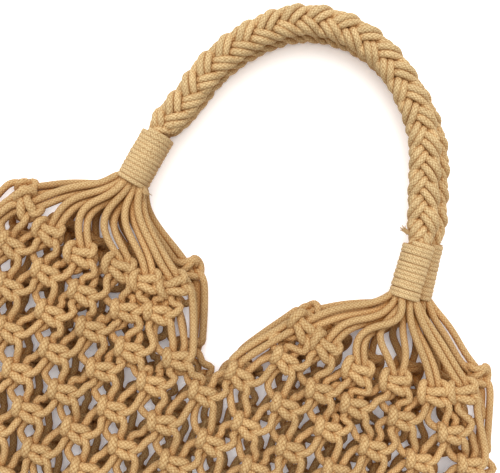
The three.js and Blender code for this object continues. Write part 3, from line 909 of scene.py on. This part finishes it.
class Nodes:
    """A short way to lay out a material's nodes"""

    def __init__(self, name):
        self.material = bpy.data.materials.new(name)
        self.material.use_nodes = True
        self.tree = self.material.node_tree
        self.shader = self.tree.nodes["Principled BSDF"]

    def put(self, value, socket):
        if isinstance(value, bpy.types.NodeSocket):
            self.tree.links.new(value, socket)
        else:
            socket.default_value = value

    def math(self, operation, *values):
        node = self.tree.nodes.new("ShaderNodeMath")
        node.operation = operation
        for value, socket in zip(values, node.inputs):
            self.put(value, socket)
        return node.outputs[0]

    def mix(self, share, first, second, blend="MIX"):
        node = self.tree.nodes.new("ShaderNodeMix")
        node.data_type = "RGBA"
        node.blend_type = blend
        self.put(share, node.inputs["Factor"])
        self.put(first, node.inputs["A"])
        self.put(second, node.inputs["B"])
        return node.outputs["Result"]

    def noise(self, vector, scale, detail=2.0, roughness=0.5):
        node = self.tree.nodes.new("ShaderNodeTexNoise")
        self.put(vector, node.inputs["Vector"])
        node.inputs["Scale"].default_value = scale
        node.inputs["Detail"].default_value = detail
        node.inputs["Roughness"].default_value = roughness
        return node.outputs["Fac"]

    def vector(self, x, y, z=0.0):
        node = self.tree.nodes.new("ShaderNodeCombineXYZ")
        for value, socket in zip((x, y, z), node.inputs):
            self.put(value, socket)
        return node.outputs[0]


def yarn_ridges(nodes, around, along, carriers, plait_length):
    """Height of two sets of yarns that wind round the cord both ways and cross over and under each other"""
    turns = nodes.math("MULTIPLY", around, float(carriers))
    steps = nodes.math("DIVIDE", along, plait_length)
    rising = nodes.math("ADD", turns, steps)
    falling = nodes.math("SUBTRACT", turns, steps)
    crossing = nodes.math("ADD", nodes.math("FLOOR", rising), nodes.math("FLOOR", falling))
    over = nodes.math("FLOORED_MODULO", crossing, 2.0)
    rising_ridge = nodes.math("SINE", nodes.math("MULTIPLY", nodes.math("FRACT", rising), math.pi))
    falling_ridge = nodes.math("SINE", nodes.math("MULTIPLY", nodes.math("FRACT", falling), math.pi))
    upper = nodes.math("MULTIPLY", rising_ridge, nodes.math("POWER", falling_ridge, YARN_DIP))
    lower = nodes.math("MULTIPLY", falling_ridge, nodes.math("POWER", rising_ridge, YARN_DIP))
    choice = nodes.math("MULTIPLY", over, upper)
    return nodes.math("MULTIPLY_ADD", nodes.math("SUBTRACT", 1.0, over), lower, choice)


def noise_on_cord(nodes, around, along, around_scale, along_scale, *noise_settings):
    """A noise that is stretched along the cord"""
    around_scaled = nodes.math("MULTIPLY", around, around_scale)
    along_scaled = nodes.math("MULTIPLY", along, along_scale)
    return nodes.noise(nodes.vector(around_scaled, along_scaled), *noise_settings)


def cotton_cord(name, colour, crease_shade, carriers, plait_length):
    """Soft braided cotton with loose fibres, with painted shade between its yarns and a painted brown shade
    where other cords come near
    """
    nodes = Nodes(name)
    tree = nodes.tree
    uv = tree.nodes.new("ShaderNodeUVMap")
    uv.uv_map = "cord_uv"
    split = tree.nodes.new("ShaderNodeSeparateXYZ")
    tree.links.new(uv.outputs[0], split.inputs[0])
    around, along = split.outputs[0], split.outputs[1]
    ridge = yarn_ridges(nodes, around, along, carriers, plait_length)
    tone = tree.nodes.new("ShaderNodeAttribute")
    tone.attribute_name = "tone"
    shifted = nodes.math("ADD", along, nodes.math("MULTIPLY", tone.outputs["Fac"], TONE_SHIFT))
    fibres = noise_on_cord(nodes, around, shifted, *FIBRE_NOISE)
    patches = noise_on_cord(nodes, around, shifted, *PATCH_NOISE)
    fleck_noise = noise_on_cord(nodes, around, shifted, *FLECK_NOISE)
    above_level = nodes.math("MAXIMUM", nodes.math("SUBTRACT", fleck_noise, FLECK_LEVEL), 0.0)
    flecks = nodes.math("MULTIPLY", above_level, FLECK_STRENGTH)
    height = nodes.math("MULTIPLY_ADD", fibres, FIBRE_HEIGHT, ridge)
    # Painted shade in the gaps between yarns: there the cord's colour gives way to the crease shade colour,
    # which the flecks darken towards too
    lit = nodes.math("SMOOTH_MIN", nodes.math("POWER", ridge, YARN_GAP_SHADE), 1.0, YARN_SOFTNESS)
    unflecked = nodes.math("MINIMUM", nodes.math("SUBTRACT", 1.0, flecks), 1.0)
    body = nodes.mix(nodes.math("MULTIPLY", lit, unflecked), (*crease_shade, 1), (*colour, 1))
    speck = nodes.math("MULTIPLY_ADD", fibres, *FIBRE_SHADE)
    patch = nodes.math("MULTIPLY_ADD", patches, *PATCH_SHADE)
    shade = nodes.math("MULTIPLY_ADD", tone.outputs["Fac"], *TONE_SHADE)
    level = nodes.math("MULTIPLY", nodes.math("MULTIPLY", speck, patch), shade)
    grey = tree.nodes.new("ShaderNodeCombineColor")
    for socket in grey.inputs[:3]:
        tree.links.new(level, socket)
    tinted = nodes.mix(1.0, body, grey.outputs[0], "MULTIPLY")
    # Painted shade: an ambient occlusion node darkens and browns the cotton where other cords are near
    hollow_occlusion = tree.nodes.new("ShaderNodeAmbientOcclusion")
    hollow_occlusion.samples = 4
    hollow_occlusion.inputs["Distance"].default_value = HOLLOW_SHADE_REACH
    openness = nodes.math("POWER", hollow_occlusion.outputs["AO"], HOLLOW_SHADE_POWER)
    painted_hollow_shade = nodes.mix(1.0, tinted, HOLLOW_SHADE_TINT, "MULTIPLY")
    shaded = nodes.mix(openness, painted_hollow_shade, tinted)
    shader = nodes.shader
    tree.links.new(shaded, shader.inputs["Base Color"])
    rough = nodes.math("MULTIPLY_ADD", fibres, *FIBRE_ROUGHNESS)
    tree.links.new(rough, shader.inputs["Roughness"])
    shader.inputs["Specular IOR Level"].default_value = 0.12
    shader.inputs["Sheen Weight"].default_value = 0.12
    shader.inputs["Sheen Roughness"].default_value = 0.5
    shader.inputs["Sheen Tint"].default_value = (1.0, 0.74, 0.42, 1)
    bump = tree.nodes.new("ShaderNodeBump")
    bump.inputs["Strength"].default_value = 0.75
    bump.inputs["Distance"].default_value = 0.32 * MM
    tree.links.new(height, bump.inputs["Height"])
    tree.links.new(bump.outputs[0], shader.inputs["Normal"])
    return nodes.material


def floor_paint(colour):
    """Matt white paint with the faintest unevenness"""
    nodes = Nodes("matt_floor")
    tree = nodes.tree
    place = tree.nodes.new("ShaderNodeTexCoord")
    cloud = nodes.noise(place.outputs["Object"], 3.0, 3.0)
    shade = nodes.mix(cloud, (*[FLOOR_CLOUD * part for part in colour], 1), (*colour, 1))
    tree.links.new(shade, nodes.shader.inputs["Base Color"])
    nodes.shader.inputs["Roughness"].default_value = 0.9
    nodes.shader.inputs["Specular IOR Level"].default_value = 0.1
    nodes.shader.inputs["Emission Color"].default_value = (0.97, 0.96, 1.0, 1)
    nodes.shader.inputs["Emission Strength"].default_value = 0.13
    return nodes.material


class BagSizes(PropertyGroup):
    """Sizes of the cord"""

    cord_thickness: FloatProperty(
        name="Cord thickness", description="Thickness of the knotted cord", default=4.7 * MM,
        min=3 * MM, max=6 * MM, subtype="DISTANCE", unit="LENGTH",
    )
    plait_cord_thickness: FloatProperty(
        name="Plait cord thickness", description="Thickness of the cord where it is plaited tight",
        default=4.8 * MM, min=3 * MM, max=6 * MM, subtype="DISTANCE", unit="LENGTH",
    )
    curve_step: FloatProperty(
        name="Curve step", description="Length of one straight stretch of a bent cord", default=2.0 * MM,
        min=1 * MM, max=5 * MM, subtype="DISTANCE", unit="LENGTH",
    )
    cord_sides: IntProperty(
        name="Cord sides", description="Sides of a cord's section", default=8, min=6, max=16,
    )


class BagColours(PropertyGroup):
    """Colours of the cord and the floor"""

    cord: FloatVectorProperty(
        name="Cord", description="Colour of the cotton cord", subtype="COLOR", size=3, min=0, max=1,
        default=(0.430, 0.312, 0.160),
    )
    plait: FloatVectorProperty(
        name="Plait", description="Colour of the cord in the handles", subtype="COLOR", size=3, min=0, max=1,
        default=(0.490, 0.385, 0.215),
    )
    # Painted shade: the colour in the gaps between the cord's yarns, which the flecks darken towards as well
    crease_shade: FloatVectorProperty(
        name="Crease", description="Colour between the cord's yarns", subtype="COLOR", size=3, min=0, max=1,
        default=(0.180, 0.078, 0.016),
    )
    wrap: FloatVectorProperty(
        name="Wrap", description="Colour of the wound cord", subtype="COLOR", size=3, min=0, max=1,
        default=(0.520, 0.410, 0.232),
    )
    floor: FloatVectorProperty(
        name="Floor", description="Colour of the floor", subtype="COLOR", size=3, min=0, max=1,
        default=(0.95, 0.95, 0.96),
    )


def cotton(name):
    """One of the bag's cottons, made once"""
    colours = bpy.context.scene.bag_colours
    colour, carriers, plait_length = COTTONS[name]
    made = bpy.data.materials.get(name)
    return made or cotton_cord(name, getattr(colours, colour), colours.crease_shade, carriers, plait_length)


def sized_net():
    """The net's cords at the sizes set in the panel"""
    sizes = bpy.context.scene.bag_sizes
    return cut_net(round(sizes.curve_step / MM, 3), round(sizes.cord_thickness / MM / 2, 3))


class BAG_OT_knot_net(Operator):
    """Knot the front and the back of the net"""

    bl_idname = "bag.knot_net"
    bl_label = "Knot the net"

    def execute(self, context):
        _, nets, _ = sized_net()
        sides = context.scene.bag_sizes.cord_sides
        for name, cords in zip(FAN_NAMES, nets):
            layer = name.split("_")[0] + "_net"
            add_piece(name + "_knots", cords, sides, cotton("cotton_cord"), "cord", layer)
        return {"FINISHED"}


class BAG_OT_close_bottom(Operator):
    """Tie front and back together in the row of knots along the bottom"""

    bl_idname = "bag.close_bottom"
    bl_label = "Close the bottom"

    def execute(self, context):
        _, _, closing = sized_net()
        sides = context.scene.bag_sizes.cord_sides
        add_piece("bottom_knots", closing, sides, cotton("cotton_cord"), "cord", "bottom_knot_row")
        return {"FINISHED"}


class BAG_OT_spread_fans(Operator):
    """Spread the cords from the wraps to the top row of knots"""

    bl_idname = "bag.spread_fans"
    bl_label = "Spread the fans"

    def execute(self, context):
        fans, _, _ = sized_net()
        sides = context.scene.bag_sizes.cord_sides
        for name, cords in zip(FAN_NAMES, fans):
            add_piece(name + "_fan_cords", cords, sides, cotton("cotton_cord"), "cord", name + "_fan")
        return {"FINISHED"}


class BAG_OT_plait_handles(Operator):
    """Plait the two handles"""

    bl_idname = "bag.plait_handles"
    bl_label = "Plait the handles"

    def execute(self, context):
        sizes = context.scene.bag_sizes
        for name, back in (("front", False), ("back", True)):
            cords = plait_cords(back, sizes.plait_cord_thickness / MM / 2)
            node = name + "_handle_braid"
            add_piece(name + "_handle_plait", cords, sizes.cord_sides, cotton("plaited_cord"), "cord", node)
        return {"FINISHED"}


class BAG_OT_wind_wraps(Operator):
    """Wind the wraps round the ends of the handles"""

    bl_idname = "bag.wind_wraps"
    bl_label = "Wind the wraps"

    def execute(self, context):
        for name, back in (("front", False), ("back", True)):
            for side_name, side in (("left", -1), ("right", 1)):
                node = f"{name}_{side_name}_wrap"
                cords = [wrap_cord(side, back)]
                chance = np.random.default_rng(FRAY_SEED + side)
                for wrap, place, way in FRAYED_ENDS:
                    if wrap == node:
                        cords += frayed_end(place, way, chance)
                add_piece(node + "_winding", cords, WRAP_SECTION_SIDES, cotton("wound_cord"), "wrap", node)
        return {"FINISHED"}


class BAG_OT_set_stage(Operator):
    """Lay the floor, set the light and place the camera"""

    bl_idname = "bag.set_stage"
    bl_label = "Set the stage"

    def execute(self, context):
        scene = context.scene
        mesh = bpy.data.meshes.new("floor")
        corners = [(x * FLOOR_HALF, y * FLOOR_HALF, 0) for x, y in ((-1, -1), (1, -1), (1, 1), (-1, 1))]
        mesh.from_pydata(corners, [], [(0, 1, 2, 3)])
        mesh.materials.append(floor_paint(scene.bag_colours.floor))
        floor = bpy.data.objects.new("floor", mesh)
        scene.collection.objects.link(floor)
        world = bpy.data.worlds.new("soft_room")
        world.use_nodes = True
        sky = world.node_tree.nodes["Background"]
        sky.inputs["Color"].default_value = (1.0, 0.9, 0.77, 1)
        sky.inputs["Strength"].default_value = 0.75
        scene.world = world
        sun = bpy.data.lights.new("window_light", "SUN")
        sun.energy = 4.3
        sun.angle = math.radians(60)
        sun_object = bpy.data.objects.new("window_light", sun)
        scene.collection.objects.link(sun_object)
        sun_object.rotation_euler = Vector(LIGHT_WAY).to_track_quat("-Z", "Y").to_euler()
        camera = bpy.data.cameras.new("camera")
        camera.lens = 85
        camera.sensor_width = 36
        camera_object = bpy.data.objects.new("camera", camera)
        scene.collection.objects.link(camera_object)
        distance = FRAMED_WIDTH * camera.lens / camera.sensor_width
        middle_x, middle_y = FRAMED_MIDDLE
        place = Vector((middle_x * MM, (SHIFT_Y + middle_y) * MM, FRAMED_HEIGHT + distance))
        camera_object.matrix_world = Matrix.Translation(place) @ Matrix.Rotation(BAG_TURN, 4, "Z")
        scene.camera = camera_object
        scene.view_settings.view_transform = "Standard"
        return {"FINISHED"}


class BAG_PT_panel(Panel):
    """Lists the steps that build the bag"""

    bl_idname = "BAG_PT_panel"
    bl_label = "Knotted cord bag"
    bl_space_type = "VIEW_3D"
    bl_region_type = "UI"
    bl_category = "Bag"

    def draw(self, context):
        for settings in (context.scene.bag_sizes, context.scene.bag_colours):
            for name in settings.__annotations__:
                self.layout.prop(settings, name)
        for operator in OPERATORS:
            self.layout.operator(operator.bl_idname)


OPERATORS = [
    BAG_OT_set_stage,
    BAG_OT_knot_net,
    BAG_OT_close_bottom,
    BAG_OT_spread_fans,
    BAG_OT_plait_handles,
    BAG_OT_wind_wraps,
]
CLASSES = [BagSizes, BagColours, *OPERATORS, BAG_PT_panel]


def register():
    for cls in CLASSES:
        bpy.utils.register_class(cls)
    bpy.types.Scene.bag_sizes = PointerProperty(type=BagSizes)
    bpy.types.Scene.bag_colours = PointerProperty(type=BagColours)


def unregister():
    del bpy.types.Scene.bag_colours
    del bpy.types.Scene.bag_sizes
    for cls in reversed(CLASSES):
        bpy.utils.unregister_class(cls)


def main():
    register()
    bpy.ops.bag.set_stage()
    bpy.ops.bag.knot_net()
    bpy.ops.bag.close_bottom()
    bpy.ops.bag.spread_fans()
    bpy.ops.bag.plait_handles()
    bpy.ops.bag.wind_wraps()


if __name__ == "__main__":
    main()
